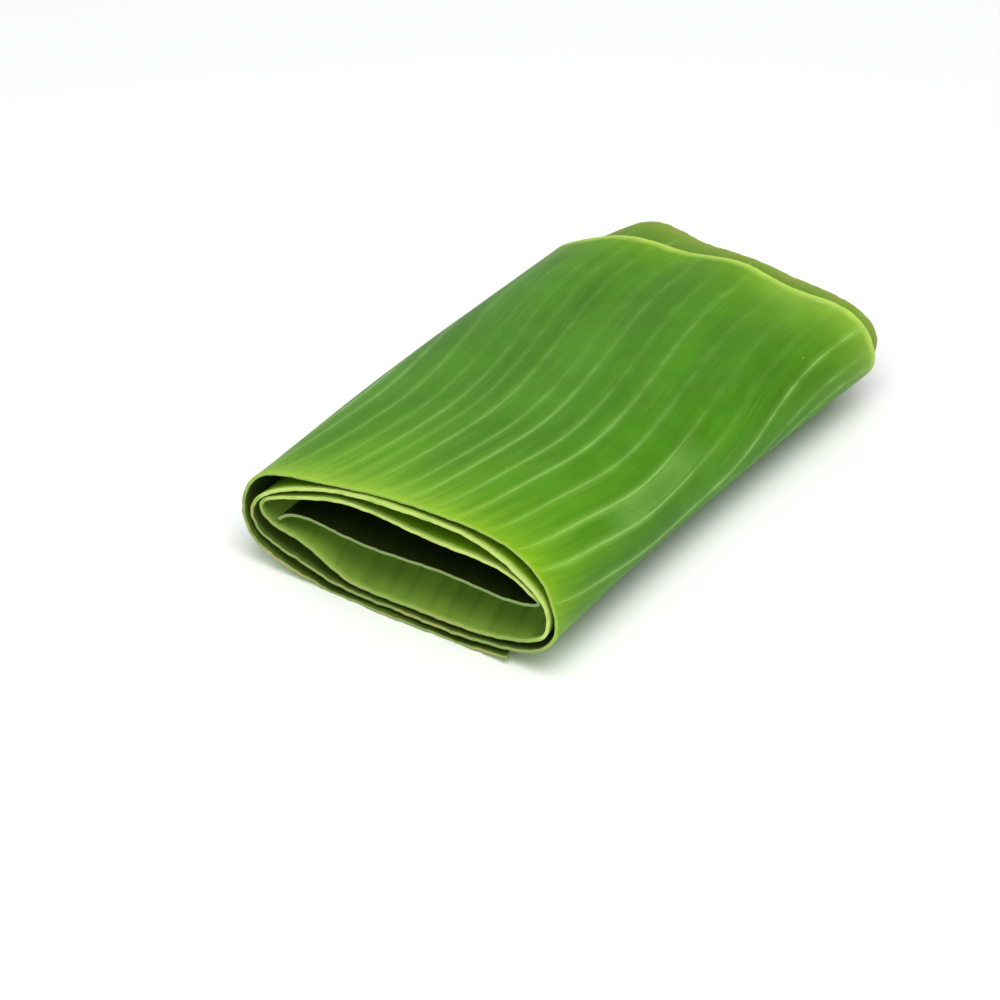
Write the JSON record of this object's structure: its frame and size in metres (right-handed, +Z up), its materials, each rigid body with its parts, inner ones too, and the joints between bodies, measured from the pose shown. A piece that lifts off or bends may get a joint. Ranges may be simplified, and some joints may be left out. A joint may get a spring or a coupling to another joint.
{
  "type": "banana leaf",
  "caption": "Strip of banana leaf blade, cut straight along the midrib and folded flat over and over into a loose layered packet, open at the cut end, with a gently waved margin at the back.",
  "frame": {"origin": "under the middle of the packet's box, on the surface that it lies on", "axes": "+X across the packet, from the side where the passes turn on the left to the side where they turn on the right, seen from the open end; +Y along the side veins, from the cut along the midrib to the leaf's natural margin; +Z up"},
  "size_m": [0.2046, 0.3238, 0.077],
  "materials": {
    "leaf": null
  },
  "bodies": {
    "root": {"banana_leaf": "leaf"}
  },
  "joints": []
}
